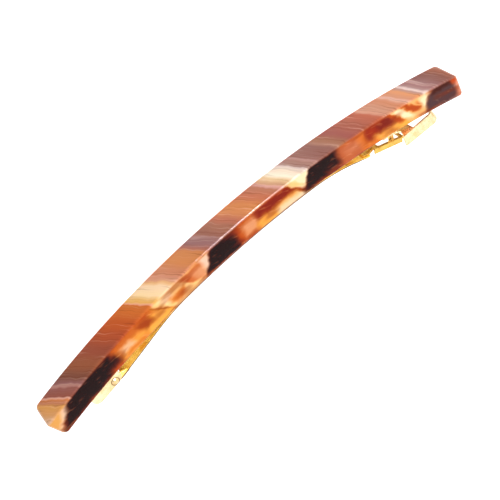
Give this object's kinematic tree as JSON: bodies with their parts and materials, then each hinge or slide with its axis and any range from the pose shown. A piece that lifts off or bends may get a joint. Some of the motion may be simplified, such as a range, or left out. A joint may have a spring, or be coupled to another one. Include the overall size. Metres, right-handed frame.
{
  "type": "barrette",
  "caption": "Long slim arched hair barrette in marbled tortoiseshell acetate on a gold-plated French automatic clip with pinch wings.",
  "frame": {"origin": "centre of the box's underside, on the plane that the clip rests on", "axes": "+X along the bar from the hinge end to the catch end, +Y across the bar, +Z out of the bar's front face"},
  "size_m": [0.1138, 0.0108, 0.0155],
  "materials": {
    "acetate": "gloss",
    "gold_plate": "gloss",
    "gold_spring": "gloss",
    "gold_catch": "gloss",
    "gold_rivet": "satin"
  },
  "bodies": {
    "bar_and_base": {"acetate_bar": "acetate", "base_plate": "gold_plate", "mounting_rivets": "gold_rivet", "hinge_pin": "gold_rivet", "catch_bridge": "gold_catch", "catch_rivet": "gold_rivet"},
    "arm": {"clasp_arm": "gold_spring", "arm_head": "gold_plate"},
    "near_wing": {"near_pinch_wing": "gold_catch"},
    "far_wing": {"far_pinch_wing": "gold_catch"}
  },
  "joints": [
    {"name": "arm_hinge", "type": "hinge", "parent": "bar_and_base", "child": "arm", "pos_m": [-0.04091, 0, 0.00346], "axis": [0, 1, 0], "range_deg": [0, 75]},
    {"name": "near_wing_pinch", "type": "hinge", "parent": "bar_and_base", "child": "near_wing", "pos_m": [0.04862, -0.00262, 0.0014], "axis": [-0.2315, 0, -0.9728], "range_deg": [-1.6, 3], "stiffness_Nm_per_rad": 0.8},
    {"name": "far_wing_pinch", "type": "hinge", "parent": "bar_and_base", "child": "far_wing", "pos_m": [0.04862, 0.00262, 0.0014], "axis": [0.2315, 0, 0.9728], "range_deg": [-1.6, 3]}
  ],
  "couplings": [
    {"joint": "far_wing_pinch", "follows": "near_wing_pinch", "ratio": 1}
  ]
}
